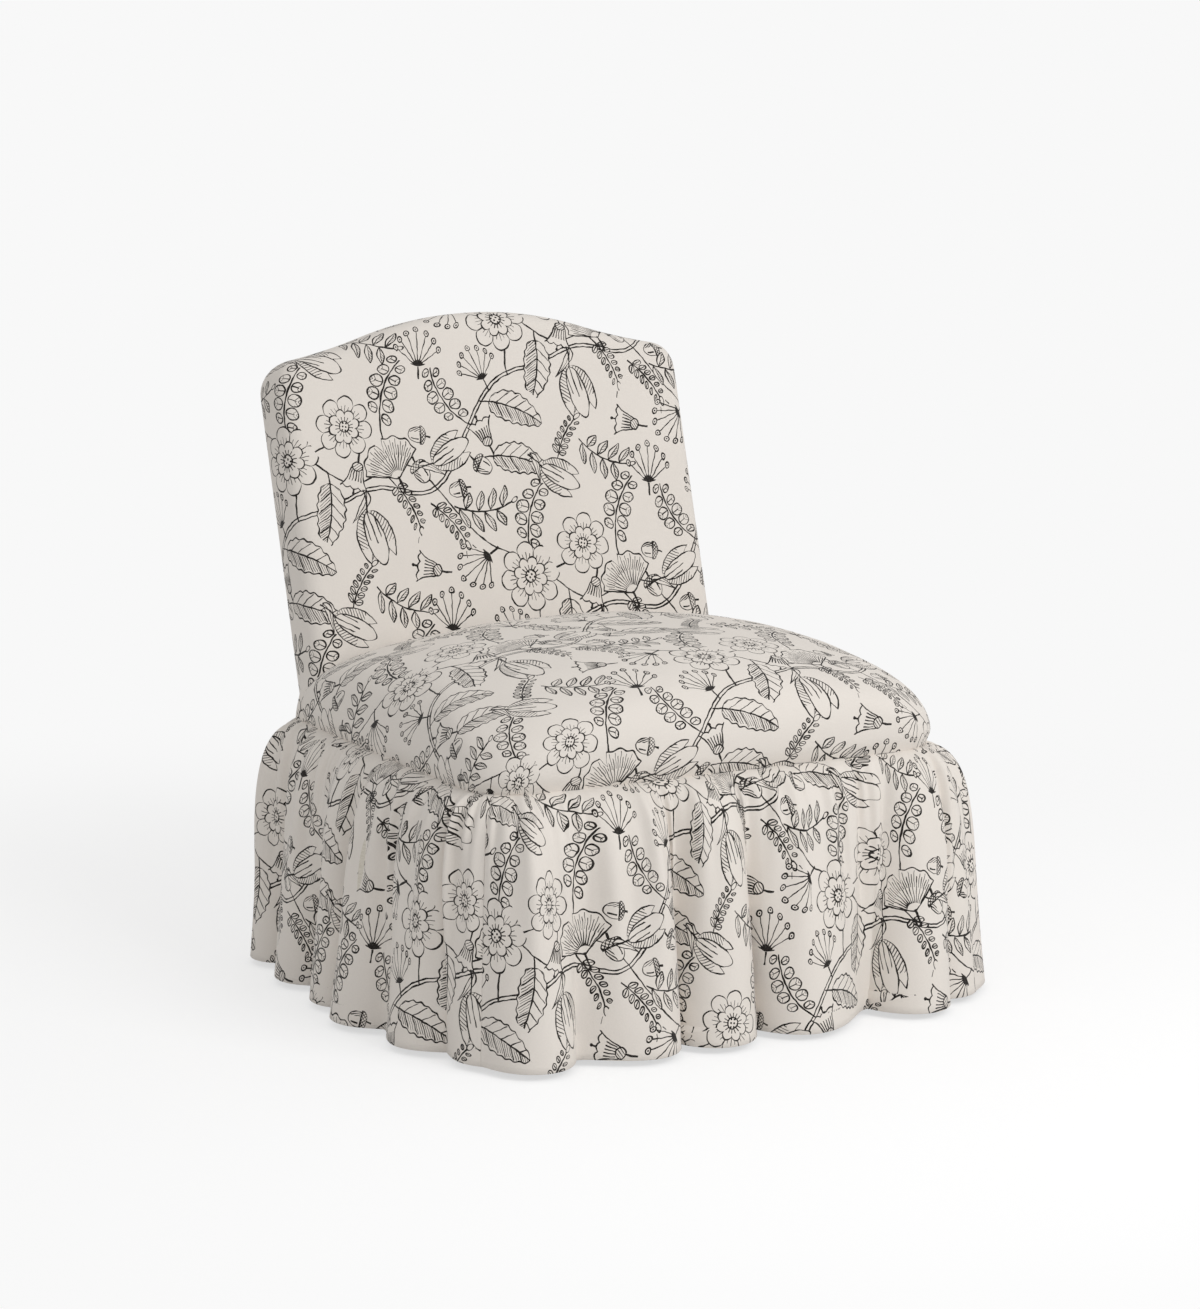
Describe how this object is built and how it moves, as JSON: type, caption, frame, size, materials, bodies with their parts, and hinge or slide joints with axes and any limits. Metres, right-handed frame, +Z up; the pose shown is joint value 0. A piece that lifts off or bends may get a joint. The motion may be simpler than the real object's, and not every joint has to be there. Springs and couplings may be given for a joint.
{
  "type": "slipper chair",
  "caption": "Armless upholstered slipper chair with a raked camelback, a high crowned tight seat and a gathered skirt to the floor.",
  "frame": {"origin": "on the floor, under the middle of the chair's bounding box", "axes": "+Z up, -Y the way a sitter faces, +X to the right as seen from in front facing +Y"},
  "size_m": [0.8256, 0.825, 0.8398],
  "materials": {
    "hardwood": "sawn",
    "zinc_steel": "bright zinc",
    "nylon_glide": "moulded",
    "spring_steel": "oiled wire",
    "burlap": "coarse plain weave",
    "jute_webbing": "herringbone webbing",
    "foam": "open cell foam",
    "batting": "bonded fibre",
    "printed_cotton": "plain weave with a dark line print",
    "lining_cotton": "plain weave",
    "black_cambric": "non-woven"
  },
  "bodies": {
    "root": {"front_seat_rail": "hardwood", "rear_seat_rail": "hardwood", "left_seat_rail": "hardwood", "right_seat_rail": "hardwood", "left_front_leg": "hardwood", "right_front_leg": "hardwood", "left_rear_leg_and_post": "hardwood", "right_rear_leg_and_post": "hardwood", "back_crest_rail": "hardwood", "back_lower_rail": "hardwood", "rail_dowels": "hardwood", "corner_blocks": "hardwood", "corner_block_screws": "zinc_steel", "glide_nails": "zinc_steel", "spring_clips": "zinc_steel", "cambric_staples": "zinc_steel", "floor_glides": "nylon_glide", "seat_springs": "spring_steel", "spring_cross_wires": "spring_steel", "seat_burlap": "burlap", "back_burlap": "burlap", "back_webbing": "jute_webbing", "seat_foam": "foam", "back_foam": "foam", "seat_batting": "batting", "back_batting": "batting", "seat_cover": "printed_cotton", "inside_back_cover": "printed_cotton", "outside_back_panel": "printed_cotton", "skirt_front": "printed_cotton", "skirt_right": "printed_cotton", "skirt_rear": "printed_cotton", "skirt_left": "printed_cotton", "skirt_lining": "lining_cotton", "skirt_tape": "lining_cotton", "cambric_dust_cover": "black_cambric"}
  },
  "joints": []
}
